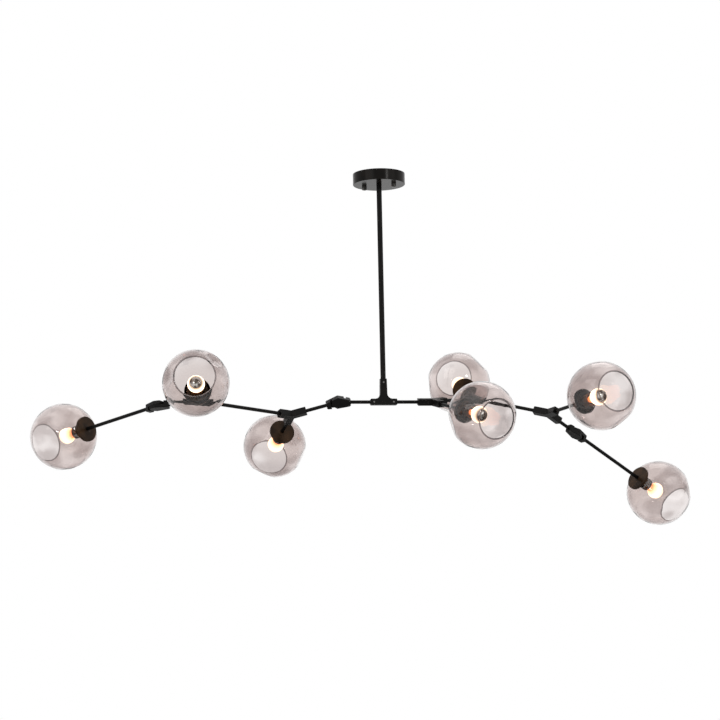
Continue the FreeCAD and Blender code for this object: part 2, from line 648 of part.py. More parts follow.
def build_globe(number_of_lamp, place):
    """Blown globe with finger dents, a hole at its cup and a round mouth opposite."""
    name = f"lamp_{number_of_lamp}_globe"
    skins = []
    for skin, inset in (("outside", "0"), ("inside", "glass_wall")):
        solid = add_solid("Sphere", f"{name}_{skin}", Radius=f"glass_r - {inset}")
        for count, (polar, around) in enumerate(DENTS[number_of_lamp], start=1):
            reach = "(glass_r + dent_r - dent_depth)"
            spot = (f"{reach} * sin({polar} * 1 deg) * cos({around} * 1 deg)",
                    f"{reach} * sin({polar} * 1 deg) * sin({around} * 1 deg)",
                    f"{reach} * cos({polar} * 1 deg)")
            dent = add_solid("Sphere", f"{name}_{skin}_dent_{count}", spot,
                             Radius=f"dent_r + {inset}")
            solid = cut_away(f"{name}_{skin}_dented_{count}", solid, dent)
        skins.append(solid)
    shell = cut_away(f"{name}_shell", *skins)
    hole = add_solid("Cylinder", f"{name}_hole", ("0", "0", "-glass_r - cut_past"),
                     Radius="glass_hole_r", Height="glass_r")
    holed = cut_away(f"{name}_holed", shell, hole)
    beyond = add_solid("Cylinder", f"{name}_beyond", ("0", "0", "sqrt(glass_r ^ 2 - mouth_r ^ 2)"),
                       Radius="glass_r", Height="glass_r")
    globe = new_node("Part::Cut", name)
    globe.Base = holed
    globe.Tool = beyond
    globe.Placement = Placement(place.multVec(Z_AXIS * number(GLOBE_CENTRE)),
                                upright(place.Rotation.multVec(Z_AXIS)))


def build_socket(number_of_lamp, place):
    """Cup behind the globe, lamp holder through it, and the ring that clamps the glass."""
    name = f"lamp_{number_of_lamp}_socket"
    rod_hole = "arm_d / 2 + seat_play"
    cup = document.addObject("PartDesign::Body", f"{name}_cup")
    side, inside = "cup_d / 2", "cup_d / 2 - cup_wall"
    add_turned(cup, "wall", [(rod_hole, "0"), (side, "0"), (side, "cup_depth"),
                             (inside, "cup_depth"), (inside, "cup_wall"),
                             (rod_hole, "cup_wall")])
    break_edges(cup, "back_edge", "cup_edge", round_at(size("cup_d") / 2, 0), rounded=True)
    holder = document.addObject("PartDesign::Body", f"{name}_holder")
    side, inside = "holder_d / 2", "holder_bore / 2"
    add_turned(holder, "wall", [(rod_hole, "holder_back"), (side, "holder_back"),
                                (side, "holder_rim"), (inside, "holder_rim"),
                                (inside, "holder_floor"), (rod_hole, "holder_floor")])
    ring = document.addObject("PartDesign::Body", f"{name}_ring")
    inside, outside = "holder_d / 2 + ring_play", "ring_d / 2"
    add_turned(ring, "band", [(inside, "ring_start"), (outside, "ring_start"),
                              (outside, "ring_start + ring_thick"),
                              (inside, "ring_start + ring_thick")])
    gather(name, [cup, holder, ring]).Placement = place


def build_bulb(number_of_lamp, place):
    """Round bulb: screw cap, neck that widens, and the ball with its silvered crown."""
    bulb = new_body(f"lamp_{number_of_lamp}_bulb")
    cap = bulb.newObject("PartDesign::AdditiveCylinder", f"{bulb.Name}_cap")
    bind(cap, Radius="bulb_cap_d / 2", Height="bulb_cap_length")
    bind_place(cap, ("0", "0", "bulb_start"))
    neck = bulb.newObject("PartDesign::AdditiveCone", f"{bulb.Name}_neck")
    bind(neck, Radius1="bulb_cap_d / 2", Radius2="bulb_neck_d / 2", Height="bulb_neck_length")
    bind_place(neck, ("0", "0", "bulb_start + bulb_cap_length"))
    ball = bulb.newObject("PartDesign::AdditiveSphere", f"{bulb.Name}_ball")
    bind(ball, Radius="bulb_d / 2")
    bind_place(ball, ("0", "0", "bulb_start + bulb_length - bulb_d / 2"))
    bulb.Placement = place


def build_lamp(number_of_lamp, start, heading, seat):
    """A lamp head at the end of its rod: rod, socket, globe and bulb."""
    reach = f"reach_{number_of_lamp}"
    build_rod(f"lamp_{number_of_lamp}_rod", start, heading, reach, seat, HOLDER_SEAT)
    place = Placement(ahead(start, heading, size(reach)), heading * LAY_DOWN)
    build_socket(number_of_lamp, place)
    build_globe(number_of_lamp, place)
    build_bulb(number_of_lamp, place)
    middle = place.multVec(Z_AXIS * number(GLOBE_CENTRE))
    way = heading.multVec(X_AXIS)
    print(f"globe {number_of_lamp} at {middle.x:.3f} {middle.y:.3f} {middle.z:.3f}"
          f" way {way.x:.5f} {way.y:.5f} {way.z:.5f}")


# ---------------------------------------------------------------- the two branches
def build_left_branch(tee, heading):
    """From the tee to the left: knuckle, lamps three and two, knuckle, lamp one."""
    build_rod("left_rod_1", tee, heading, "left_1", TEE_SEAT, KNUCKLE_SEAT)
    spot = ahead(tee, heading, size("left_1"))
    heading = build_knuckle("knuckle_1", spot, heading, ("frame", "left_branch"))
    build_rod("left_rod_2", spot, heading, "left_2", KNUCKLE_SEAT, FITTING_SEAT)
    spot = ahead(spot, heading, size("left_2"))
    heading, aside = build_fitting("left_a", spot, heading, "left_branch")
    build_lamp(3, spot, aside, FITTING_SEAT)
    build_rod("left_rod_3", spot, heading, "left_3", FITTING_SEAT, FITTING_SEAT)
    spot = ahead(spot, heading, size("left_3"))
    heading, aside = build_fitting("left_b", spot, heading, "left_branch")
    build_lamp(2, spot, aside, FITTING_SEAT)
    build_rod("left_rod_4", spot, heading, "left_4", FITTING_SEAT, KNUCKLE_SEAT)
    spot = ahead(spot, heading, size("left_4"))
    heading = build_knuckle("knuckle_2", spot, heading, ("left_branch", "lamp_1_arm"))
    build_lamp(1, spot, heading, KNUCKLE_SEAT)


def build_right_branch(tee, heading):
    """From the tee to the right: lamps five, four and six, knuckle, lamp seven."""
    spot, seat = tee, TEE_SEAT
    for count, (name, lamp) in enumerate((("right_a", 5), ("right_b", 4), ("right_c", 6)), 1):
        length = f"right_{count}"
        build_rod(f"right_rod_{count}", spot, heading, length, seat, FITTING_SEAT)
        spot, seat = ahead(spot, heading, size(length)), FITTING_SEAT
        heading, aside = build_fitting(name, spot, heading, "frame")
        build_lamp(lamp, spot, aside, FITTING_SEAT)
    build_rod("right_rod_4", spot, heading, "right_4", FITTING_SEAT, KNUCKLE_SEAT)
    spot = ahead(spot, heading, size("right_4"))
    heading = build_knuckle("knuckle_3", spot, heading, ("frame", "lamp_7_arm"))
    build_lamp(7, spot, heading, KNUCKLE_SEAT)


# ---------------------------------------------------------------- check and export
def check_document():
    """Stops if any object failed, any sub-part is empty, or any cut took nothing away."""
    failed = [thing.Name for thing in document.Objects
              if {"Invalid", "Error"} & set(thing.State)]
    empty = [node.Label for node in nodes if node.Shape.isNull() or not node.Shape.isValid()]
    idle = []
    for thing in document.Objects:
        if thing.TypeId in ("PartDesign::SubtractiveCylinder", "PartDesign::Pocket"):
            if thing.BaseFeature.Shape.Volume - thing.Shape.Volume < LEAST_CUT:
                idle.append(thing.Name)
    if failed or empty or idle:
        raise RuntimeError(f"failed {failed}, empty {empty}, cuts nothing {idle}")


def main():
    """Builds the chandelier and writes one file for each sub-part."""
    fill_sheet()
    build_strap()
    build_canopy()
    build_terminal_block()
    build_down_rod()
    tee = Z_AXIS * -size("drop")
    right = Rotation(Z_AXIS, size("tee_turn"))
    build_tee(Placement(tee, right))
    build_left_branch(tee, right * Rotation(Z_AXIS, 180))
    build_right_branch(tee, right)
    for body_name, group in screws.items():
        gather(f"{body_name}_screws", group)
    document.recompute()
    check_document()
    os.makedirs("parts", exist_ok=True)
    for node in nodes:
        node.Shape.exportStep(f"parts/{node.Label}.step")
    print(f"{len(nodes)} sub-parts, {sum(len(node.Shape.Solids) for node in nodes)} solids")


main()
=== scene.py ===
"""Branch chandelier: fine meshes, finishes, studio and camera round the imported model.

Metres, in the part's own frame: the origin is on the ceiling at the canopy's centre,
+Z is up, +X runs to the right along the row of lamps and +Y to the back.
"""

import sys
import json
import logging
import math
from dataclasses import dataclass, field
from enum import Enum
from typing import Any, Mapping, Optional, Sequence, Tuple, Union

import bmesh
import bpy
import numpy as np
from mathutils import Matrix, Vector

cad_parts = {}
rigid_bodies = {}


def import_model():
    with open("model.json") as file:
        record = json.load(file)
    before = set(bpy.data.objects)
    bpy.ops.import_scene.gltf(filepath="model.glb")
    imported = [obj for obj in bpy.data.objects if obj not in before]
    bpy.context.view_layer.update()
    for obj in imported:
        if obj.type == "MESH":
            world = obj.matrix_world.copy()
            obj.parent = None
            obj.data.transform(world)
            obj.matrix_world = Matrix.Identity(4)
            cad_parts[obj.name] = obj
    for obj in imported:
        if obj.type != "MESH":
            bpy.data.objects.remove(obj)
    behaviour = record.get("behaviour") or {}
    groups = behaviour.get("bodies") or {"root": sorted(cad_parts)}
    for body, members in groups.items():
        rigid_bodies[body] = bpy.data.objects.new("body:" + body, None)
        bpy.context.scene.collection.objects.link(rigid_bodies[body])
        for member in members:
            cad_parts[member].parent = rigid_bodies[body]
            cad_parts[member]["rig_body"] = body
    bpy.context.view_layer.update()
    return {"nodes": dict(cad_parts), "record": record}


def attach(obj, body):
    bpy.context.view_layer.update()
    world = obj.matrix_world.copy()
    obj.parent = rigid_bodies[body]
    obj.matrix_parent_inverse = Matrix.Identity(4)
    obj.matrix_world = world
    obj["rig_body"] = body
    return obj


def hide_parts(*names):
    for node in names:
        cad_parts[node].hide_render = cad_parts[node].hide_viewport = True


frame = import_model()

log = logging.getLogger("chandelier")
Colour = Tuple[float, float, float]
Point = Tuple[float, float, float]
LAMPS = range(1, 8)
MM = 0.001
PROFILE = "profile"


# ---------------------------------------------------------------- shader sockets
class Value:
    """A shader socket that takes part in sums and products, in either place."""

    def __init__(self, paint: "Paint", socket: bpy.types.NodeSocket) -> None:
        """Wraps one output socket of a material's node tree."""
        self.paint = paint
        self.socket = socket

    def _math(self, operation: str, first: "Term", second: "Term" = 0.0) -> "Value":
        """Adds a Math node on two terms."""
        return self.paint.add("ShaderNodeMath", {"operation": operation},
                              {0: first, 1: second})

    def __add__(self, other: "Term") -> "Value":
        """Self plus a term."""
        return self._math("ADD", self, other)

    def __radd__(self, other: "Term") -> "Value":
        """A term plus self."""
        return self._math("ADD", other, self)

    def __sub__(self, other: "Term") -> "Value":
        """Self less a term."""
        return self._math("SUBTRACT", self, other)

    def __rsub__(self, other: "Term") -> "Value":
        """A term less self."""
        return self._math("SUBTRACT", other, self)

    def __mul__(self, other: "Term") -> "Value":
        """Self times a term."""
        return self._math("MULTIPLY", self, other)

    def __rmul__(self, other: "Term") -> "Value":
        """A term times self."""
        return self._math("MULTIPLY", other, self)

    def larger(self, other: "Term") -> "Value":
        """The larger of self and a term."""
        return self._math("MAXIMUM", self, other)

    def between(self, low: float, high: float) -> "Value":
        """A smooth step: 0 up to low, 1 from high on."""
        return self.paint.add("ShaderNodeMapRange", {"interpolation_type": "SMOOTHSTEP"},
                              {"Value": self, "From Min": low, "From Max": high})


Term = Union[float, Value]


class Paint:
    """A material or a world under construction."""

    def __init__(self, owner: Union[bpy.types.Material, bpy.types.World]) -> None:
        """Starts with an empty node tree.

        Args:
            owner: the new material or world.
        """
        owner.use_nodes = True
        self.owner = owner
        self.tree = owner.node_tree
        self.tree.nodes.clear()

    def add(self, kind: str, settings: Optional[Mapping[str, Any]] = None,
            inputs: Optional[Mapping[Union[int, str], Any]] = None,
            output: Union[int, str] = 0) -> Value:
        """Adds a node.

        Args:
            kind: the node's type.
            settings: its own settings; "stops" are a ramp's (place, colour) pairs.
            inputs: a value or a link for each named or numbered input.
            output: the output wanted.

        Returns:
            The wanted output.
        """
        node = self.tree.nodes.new(kind)
        for name, value in (settings or {}).items():
            if name == "stops":
                self._set_stops(node.color_ramp.elements, value)
            else:
                setattr(node, name, value)
        for name, value in (inputs or {}).items():
            if isinstance(value, Value):
                self.tree.links.new(value.socket, node.inputs[name])
            else:
                node.inputs[name].default_value = value
        return Value(self, node.outputs[output])

    @staticmethod
    def _set_stops(elements: Any, stops: Sequence[Tuple[float, Colour]]) -> None:
        """Gives a colour ramp its stops.

        Args:
            elements: the new ramp's own list of stops.
            stops: the wanted (place, colour) pairs.
        """
        while len(elements) < len(stops):
            elements.new(1.0)
        for element, (place, colour) in zip(elements, stops):
            element.position = place
            element.color = (*colour, 1.0)

    def noise(self, size: float, detail: float = 3.0, stretch: Point = (1, 1, 1)) -> Value:
        """Noise on object coordinates.

        Args:
            size: the size of its blotches, in metres.
            detail: how many finer layers it has.
            stretch: how much denser it is along each axis.

        Returns:
            The noise, about 0.5.
        """
        place = self.add("ShaderNodeTexCoord", output="Object")
        place = self.add("ShaderNodeMapping", None, {"Vector": place, "Scale": stretch})
        return self.add("ShaderNodeTexNoise", None,
                        {"Vector": place, "Scale": 1 / size, "Detail": detail})

    def along_profile(self) -> Value:
        """How far along its outline a point of a woven piece is, from 0 to 1."""
        spread = self.add("ShaderNodeUVMap", {"uv_map": PROFILE})
        return self.add("ShaderNodeSeparateXYZ", None, {0: spread}, "Y")

    def mix(self, share: Term, first: Any, second: Any) -> Value:
        """Blends two colours.

        Args:
            share: how much of the second there is, from 0 to 1.
            first: a colour or a link.
            second: a colour or a link.

        Returns:
            The blend.
        """
        pair = [shade if isinstance(shade, Value) else (*shade, 1.0)
                for shade in (first, second)]
        return self.add("ShaderNodeMix", {"data_type": "RGBA"},
                        {0: share, 6: pair[0], 7: pair[1]}, 2)

    def edges(self, radius: float) -> Tuple[Value, Value]:
        """Rounds the edges for the light and finds where they are.

        Args:
            radius: the radius of the rounding, in metres.

        Returns:
            The normal over rounded edges, and a mask that is 1 along them.
        """
        soft = self.add("ShaderNodeBevel", {"samples": 4}, {"Radius": radius})
        flat = self.add("ShaderNodeNewGeometry", output="True Normal")
        along = self.add("ShaderNodeVectorMath", {"operation": "DOT_PRODUCT"},
                         {0: soft, 1: flat}, "Value")
        return soft, (1 - along).between(0.02, 0.25)

    def bump(self, height: Value, depth: float, normal: Optional[Value] = None) -> Value:
        """A normal raised by a height from 0 to 1.

        Args:
            height: the relief.
            depth: how deep it is, in metres.
            normal: the normal that it starts from, if not the surface's own.

        Returns:
            The new normal.
        """
        inputs = {"Height": height, "Distance": depth}
        if normal is not None:
            inputs["Normal"] = normal
        return self.add("ShaderNodeBump", None, inputs)

    def finish(self, **sockets: Any) -> bpy.types.Material:
        """Closes the material with one Principled shader.

        Args:
            sockets: its inputs, with _ for a space in their names.

        Returns:
            The material.
        """
        inputs = {}
        for name, value in sockets.items():
            wide = isinstance(value, tuple) and len(value) == 3
            inputs[name.replace("_", " ")] = (*value, 1.0) if wide else value
        shader = self.add("ShaderNodeBsdfPrincipled", None, inputs)
        self.add_output(Surface=shader)
        return self.owner

    def add_output(self, **shaders: Value) -> None:
        """Links shaders to the output of the material or world.

        Args:
            shaders: a shader for each named input of the output.
        """
        kind = "World" if isinstance(self.owner, bpy.types.World) else "Material"
        found = self.tree.nodes.get(f"{kind} Output")
        node = found or self.tree.nodes.new(f"ShaderNodeOutput{kind}")
        for name, shader in shaders.items():
            self.tree.links.new(shader.socket, node.inputs[name])


# ---------------------------------------------------------------- finishes
class Slot(Enum):
    """The record's material slots."""

    ROD = "rod_black"
    CAST = "cast_black"
    CUP = "cup_black"
    SMOKE = "smoke_glass"
    BULB = "bulb_glass"
    SCREW = "screw_steel"
    ZINC = "zinc_steel"
    NICKEL = "dark_nickel"
    INSULATOR = "insulator"


class OwnFinish(Enum):
    """Finishes of pieces that look unlike the rest of their slot."""

    CANOPY = "canopy_black"
    HOLDER = "holder_brown"


Finishes = Mapping[Union[Slot, OwnFinish], bpy.types.Material]


@dataclass(frozen=True)
class BlackPaint:
    """Satin black paint on metal: fine grain, cloudy gloss and edges rubbed brown."""

    name: str
    deep: Colour = (0.0030, 0.0028, 0.0027)
    pale: Colour = (0.0070, 0.0060, 0.0054)
    rubbed: Colour = (0.026, 0.018, 0.013)
    wear: float = 0.8
    roughness: float = 0.32
    unevenness: float = 0.14
    cloud: float = 26 * MM
    patch: float = 5 * MM
    grain: float = 1.6 * MM
    grain_dulling: float = 0.1
    relief: float = 0.010 * MM
    edge: float = 0.5 * MM
    shine: float = 0.08

    def make(self) -> bpy.types.Material:
        """Builds the material: pale clouds in the paint, worn in patches along edges.

        Returns:
            The material.
        """
        paint = Paint(bpy.data.materials.new(self.name))
        cloud = paint.noise(self.cloud, 4.0)
        grain = paint.noise(self.grain, 2.0)
        soft, rim = paint.edges(self.edge)
        worn = rim * paint.noise(self.patch, 3.0).between(0.46, 0.62)
        body = paint.mix(cloud.between(0.35, 0.7), self.deep, self.pale)
        return paint.finish(
            Base_Color=paint.mix(worn * self.wear, body, self.rubbed),
            Roughness=(self.roughness + (cloud - 0.5) * self.unevenness
                       + (grain - 0.5) * self.grain_dulling),
            Specular_IOR_Level=self.shine,
            Normal=paint.bump(grain, self.relief, soft))


@dataclass(frozen=True)
class Metal:
    """Bare or plated steel with fine scratches along the part's Z axis."""

    name: str
    bright: Colour
    dull: Colour
    roughness: float = 0.3
    unevenness: float = 0.25
    cloud: float = 9 * MM
    scratch: float = 0.35 * MM
    scratch_stretch: Point = (1, 1, 0.12)
    scratch_dulling: float = 0.15
    relief: float = 0.006 * MM

    def make(self) -> bpy.types.Material:
        """Builds the material.

        Returns:
            The material.
        """
        paint = Paint(bpy.data.materials.new(self.name))
        cloud = paint.noise(self.cloud, 4.0)
        scratch = paint.noise(self.scratch, 2.0, self.scratch_stretch)
        return paint.finish(
            Base_Color=paint.mix(cloud.between(0.35, 0.65), self.bright, self.dull),
            Metallic=1.0,
            Roughness=(self.roughness + (cloud - 0.5) * self.unevenness
                       + (scratch - 0.5) * self.scratch_dulling),
            Normal=paint.bump(scratch, self.relief))


@dataclass(frozen=True)
class MattPlastic:
    """Moulded insulator: matt, faintly mottled."""

    name: str
    tone: Colour = (0.76, 0.74, 0.69)
    grime: Colour = (0.60, 0.57, 0.51)
    roughness: float = 0.55
    unevenness: float = 0.2
    mottle: float = 6 * MM
    grain: float = 0.7 * MM
    relief: float = 0.01 * MM

    def make(self) -> bpy.types.Material:
        """Builds the material.

        Returns:
            The material.
        """
        paint = Paint(bpy.data.materials.new(self.name))
        mottle = paint.noise(self.mottle, 4.0)
        return paint.finish(
            Base_Color=paint.mix(mottle.between(0.45, 0.75), self.tone, self.grime),
            Roughness=self.roughness + (mottle - 0.5) * self.unevenness,
            Normal=paint.bump(paint.noise(self.grain, 2.0), self.relief))


@dataclass(frozen=True)
class SmokeGlass:
    """Blown glass, tinted through its thickness, with faint streaks and ripples.

    The share of the globe's profile runs from 0 at the mouth over the outer skin to the
    hole at the cup, and back over the inner skin to 1 at the mouth.
    """

    name: str
    tint: Colour = (0.42, 0.25, 0.25)
    density: float = 60.0
    clear: Colour = (0.925, 0.885, 0.870)
    streak: Colour = (0.63, 0.575, 0.562)
    streak_size: float = 70 * MM
    streak_stretch: Point = (1.0, 1.0, 1.5)
    dense: Colour = (0.765, 0.702, 0.678)
    cup_share: float = 0.49
    dense_reach: float = 0.05
    # Painted sheen: the white that the colour goes to where the glass is seen at a slant.
    edge: Colour = (1.0, 1.0, 1.0)
    painted_sheen_slant: Tuple[float, float] = (0.55, 0.95)
    # Painted reflection: the dark colour on the lip stands for dark surroundings seen in the
    # rim.
    lip: Colour = (0.13, 0.11, 0.11)
    lip_share: Tuple[float, float] = (0.006, 0.966)
    lip_fade: Tuple[float, float] = (0.003, 0.004)
    index: float = 1.45
    ripple: float = 24 * MM
    relief: float = 0.55 * MM
    haze: float = 0.03
    haze_size: float = 8 * MM

    def make(self) -> bpy.types.Material:
        """Builds the material: tint is absorbed by the volume between the two skins.

        The glass is dense at the cup, until the square of the distance from there, in
        shares of the profile, comes to the dense reach. Where it is seen at a slant its
        colour is lifted towards white: a painted sheen for the pale reflections along the
        globe's outline. The lip is the part of the profile below the first lip share or above
        the second; it gets a painted dark reflection of dark surroundings on the rim.

        Returns:
            The material.
        """
        paint = Paint(bpy.data.materials.new(self.name))
        streaks = paint.noise(self.streak_size, 1.5, self.streak_stretch)
        ripple = paint.noise(self.ripple, 1.0)
        haze = paint.noise(self.haze_size, 4.0)
        along = paint.along_profile()
        # Mask of the lip, where the painted dark reflection goes on the rim.
        low, high = self.lip_share
        lip = ((1 - along.between(low - self.lip_fade[0], low))
               + along.between(high, high + self.lip_fade[1]))
        body = paint.mix(streaks.between(0.38, 0.62), self.clear, self.streak)
        from_cup = along - self.cup_share
        body = paint.mix((from_cup * from_cup).between(0.0, self.dense_reach), self.dense, body)
        # Painted sheen: lifts the colour towards white where the glass is seen at a slant.
        slant = paint.add("ShaderNodeLayerWeight", None, {"Blend": 0.5}, "Facing")
        body = paint.mix(slant.between(*self.painted_sheen_slant), body, self.edge)
        paint.finish(
            Base_Color=paint.mix(lip, body, self.lip),
            Roughness=haze.between(0.62, 0.9) * self.haze,
            IOR=self.index,
            Transmission_Weight=1.0,
            Normal=paint.bump(ripple, self.relief))
        paint.add_output(Volume=paint.add(
            "ShaderNodeVolumeAbsorption", None,
            {"Color": (*self.tint, 1.0), "Density": self.density}))
        return paint.owner


@dataclass(frozen=True)
class LitBulb:
    """Round bulb that is lit: warm at its neck, white on the ball, silvered crown.

    The share of the bulb's profile runs from 0 at the foot to 1 at the crown's tip.
    """

    name: str
    opal: Colour = (0.85, 0.72, 0.55)
    silver: Colour = (0.10, 0.080, 0.068)
    glint: Colour = (0.62, 0.60, 0.57)
    stops: Tuple[Tuple[float, Colour], ...] = (
        (0.0, (0.30, 0.075, 0.012)), (0.20, (0.62, 0.135, 0.022)),
        (0.28, (0.85, 0.42, 0.22)), (0.40, (0.9, 0.66, 0.42)), (0.52, (0.8, 0.60, 0.42)),
        (0.68, (0.5, 0.40, 0.29)), (0.745, (0.10, 0.045, 0.016)), (0.785, (0.0, 0.0, 0.0)))
    crown: Tuple[float, float] = (0.765, 0.785)
    glow: float = 3.6
    patch: float = 11 * MM
    roughness: float = 0.30
    polish: float = 0.18
    smear: float = 4 * MM
    smear_dulling: float = 0.12
    wave: float = 7 * MM
    relief: float = 0.04 * MM

    def make(self) -> bpy.types.Material:
        """Builds the material; the crown's silver is patched with glints.

        Returns:
            The material.
        """
        paint = Paint(bpy.data.materials.new(self.name))
        along = paint.along_profile()
        mirror = along.between(*self.crown)
        smear = paint.noise(self.smear, 4.0)
        patches = paint.noise(self.patch, 1.5).between(0.42, 0.66)
        crown = paint.mix(patches, self.silver, self.glint)
        return paint.finish(
            Base_Color=paint.mix(mirror, self.opal, crown),
            Metallic=mirror,
            Roughness=(self.roughness - mirror * self.polish
                       + (smear - 0.5) * self.smear_dulling),
            Normal=paint.bump(paint.noise(self.wave, 2.0), self.relief),
            Emission_Color=paint.add("ShaderNodeValToRGB", {"stops": self.stops}, {0: along}),
            Emission_Strength=self.glow)


# ---------------------------------------------------------------- meshes
def corners_of(node: str) -> np.ndarray:
    """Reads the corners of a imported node.

    Args:
        node: the node's name.

    Returns:
        Its distinct vertices, one row each.
    """
    mesh = frame["nodes"][node].data
    flat = np.empty(len(mesh.vertices) * 3, np.float32)
    mesh.vertices.foreach_get("co", flat)
    return np.unique(np.round(flat.reshape(-1, 3).astype(float), 6), axis=0)


def woven(name: str, grid: np.ndarray, sharp: float = 40.0) -> bpy.types.Object:
    """A closed mesh from a grid of points.

    Rows follow the outline and columns go round. A first and last row that each
    shrink to a point become poles; otherwise the outline closes on itself. The face
    between rows i and i+1 and columns j and j+1 joins their four points, and all
    faces are turned over if the enclosed volume comes out negative.

    Args:
        name: the piece's name.
        grid: rows by columns by 3, in metres.
        sharp: edges that bend more than this many degrees are shaded hard.

    Returns:
        The new object, at the origin.
    """
    rows, columns = grid.shape[:2]
    poles = float(np.ptp(grid[0], axis=0).max()) < 1e-9
    number = np.arange(rows * columns).reshape(rows, columns)
    row, column = np.meshgrid(np.arange(rows - 1 if poles else rows), np.arange(columns),
                              indexing="ij")
    places = np.stack([(row, column), (row, column + 1), (row + 1, column + 1),
                       (row + 1, column)], axis=-1)
    faces = number[places[0] % rows, places[1] % columns].reshape(-1, 4)
    around = (places[1] / columns).reshape(-1, 4)
    along = (places[0] / (rows - 1 if poles else rows)).reshape(-1, 4)
    points = grid.reshape(-1, 3)
    a, b, c, d = (points[faces[:, k]] for k in range(4))
    volume = np.einsum("ij,ij->", np.cross(a, b), c) + np.einsum("ij,ij->", np.cross(a, c), d)
    if volume < 0:
        faces, around, along = faces[:, ::-1], around[:, ::-1], along[:, ::-1]

    mesh = bpy.data.meshes.new(name)
    mesh.from_pydata(points.tolist(), [], faces.tolist())
    spread = mesh.uv_layers.new(name=PROFILE)
    spread.data.foreach_set("uv", np.stack([around, along], axis=-1).astype(np.float32).ravel())
    if poles:
        close_poles(mesh)
    mesh.shade_smooth()
    mesh.set_sharp_from_angle(angle=math.radians(sharp))
    made = bpy.data.objects.new(name, mesh)
    bpy.context.scene.collection.objects.link(made)
    return made


def close_poles(mesh: bpy.types.Mesh) -> None:
    """Merges the points of each pole into one.

    Args:
        mesh: a mesh whose poles are still rings of points at one place.
    """
    work = bmesh.new()
    work.from_mesh(mesh)
    bmesh.ops.remove_doubles(work, verts=work.verts, dist=1e-6)
    work.to_mesh(mesh)
    work.free()


def soften(corners: Sequence[Tuple[float, float]], radius: float, steps: int = 5) -> np.ndarray:
    """A closed outline with round corners.

    Each corner gives way to the parabola that starts and ends at the radius from it, or
    at 0.45 of a side that is shorter, and has the corner as its control point.

    Args:
        corners: the outline's corners, in order.
        radius: how far from a corner its rounding starts.
        steps: the points of each rounding.

    Returns:
        The outline's points, one row each.
    """
    middle = np.array(corners, float)
    before, after = np.roll(middle, 1, axis=0) - middle, np.roll(middle, -1, axis=0) - middle
    reach = [side * np.minimum(radius / np.linalg.norm(side, axis=1), 0.45)[:, None]
             for side in (before, after)]
    share = np.linspace(0, 1, steps)[None, :, None]
    curve = (middle[:, None] + (1 - share) ** 2 * reach[0][:, None]
             + share ** 2 * reach[1][:, None])
    return curve.reshape(-1, 2)


def stand_for(node: str, piece: bpy.types.Object,
              finish: bpy.types.Material) -> None:
    """Dresses a piece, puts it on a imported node's body and lets it stand for that node.

    Args:
        node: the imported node's name.
        piece: the finished piece.
        finish: its material.
    """
    piece.data.materials.append(finish)
    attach(piece, frame["nodes"][node]["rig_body"])
    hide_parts(node)
    log.info("%s: %d faces for %s", piece.name, len(piece.data.polygons), node)


@dataclass(frozen=True)
class Axes:
    """Where a turned piece stands: its origin, its axis, and two sides square to that."""

    origin: np.ndarray
    side: np.ndarray
    third: np.ndarray
    way: np.ndarray

    @classmethod
    def of_lamp(cls, lamp: int) -> "Axes":
        """Reads a lamp head's place from its packed rod, bulb and socket.

        The axis is the direction in which the rod's corners spread most, pointing to
        the bulb. The first side is the part of straight up that is square to it.

        Args:
            lamp: the lamp's number.

        Returns:
            Axes with their origin in the middle of the cup's back.
        """
        rod = corners_of(f"lamp_{lamp}_rod")
        middle = rod.mean(axis=0)
        way = np.linalg.svd(rod - middle, full_matrices=False)[2][0]
        way *= np.sign((corners_of(f"lamp_{lamp}_bulb").mean(axis=0) - middle) @ way)
        back = ((corners_of(f"lamp_{lamp}_socket") - middle) @ way).min()
        side = np.array([0.0, 0.0, 1.0]) - way * way[2]
        side /= np.linalg.norm(side)
        return cls(middle + way * back, side, np.cross(way, side), way)

    def place(self, radius: np.ndarray, angle: np.ndarray, along: np.ndarray) -> np.ndarray:
        """Points at a radius and an angle round the axis, and a distance along it."""
        across = np.cos(angle)[..., None] * self.side + np.sin(angle)[..., None] * self.third
        return self.origin + radius[..., None] * across + along[..., None] * self.way

    def turned(self, name: str, outline: np.ndarray, columns: int = 96,
               sharp: float = 40.0) -> bpy.types.Object:
        """Turns an outline about the axis.

        Args:
            name: the piece's name.
            outline: rows of radius and distance along the axis.
            columns: how many steps go round.
            sharp: edges that bend more than this many degrees are shaded hard.

        Returns:
            The new object.
        """
        angle = np.linspace(0, 2 * math.pi, columns, endpoint=False)
        shape = (len(outline), columns)
        radius = np.broadcast_to(outline[:, :1], shape)
        along = np.broadcast_to(outline[:, 1:], shape)
        return woven(name, self.place(radius, np.broadcast_to(angle, shape), along), sharp)


# ---------------------------------------------------------------- lamp heads
@dataclass(frozen=True)
class Dent:
    """A finger-like hollow: degrees from the lamp's axis and round it from the top."""

    polar: float
    around: float
    depth: float = 7.0 * MM
    width: float = 23.0
    softness: float = 1.25


